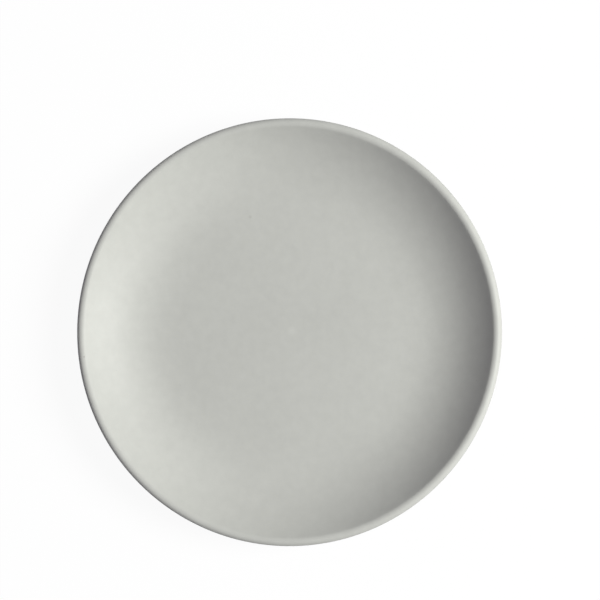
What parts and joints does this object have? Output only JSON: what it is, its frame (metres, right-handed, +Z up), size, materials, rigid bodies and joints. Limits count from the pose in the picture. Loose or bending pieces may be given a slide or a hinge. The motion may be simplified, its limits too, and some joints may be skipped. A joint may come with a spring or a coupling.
{
  "type": "coupe salad plate",
  "caption": "Round coupe salad plate in stoneware: a flat well, a wall that curves up to a soft rounded lip, and a bare foot ring under a matte grey glaze.",
  "frame": {"origin": "on the table, at the centre of the foot ring that the plate stands on", "axes": "+Z up out of the plate's face, along its axis of revolution; the plate is round, so +X and +Y are any two square directions across it"},
  "size_m": [0.21, 0.21, 0.0254],
  "materials": {
    "stoneware": "matte",
    "matte_glaze": "matte"
  },
  "bodies": {
    "root": {"stoneware_body": "stoneware", "glaze_coat": "matte_glaze", "foot_recess_glaze": "matte_glaze"}
  },
  "joints": []
}
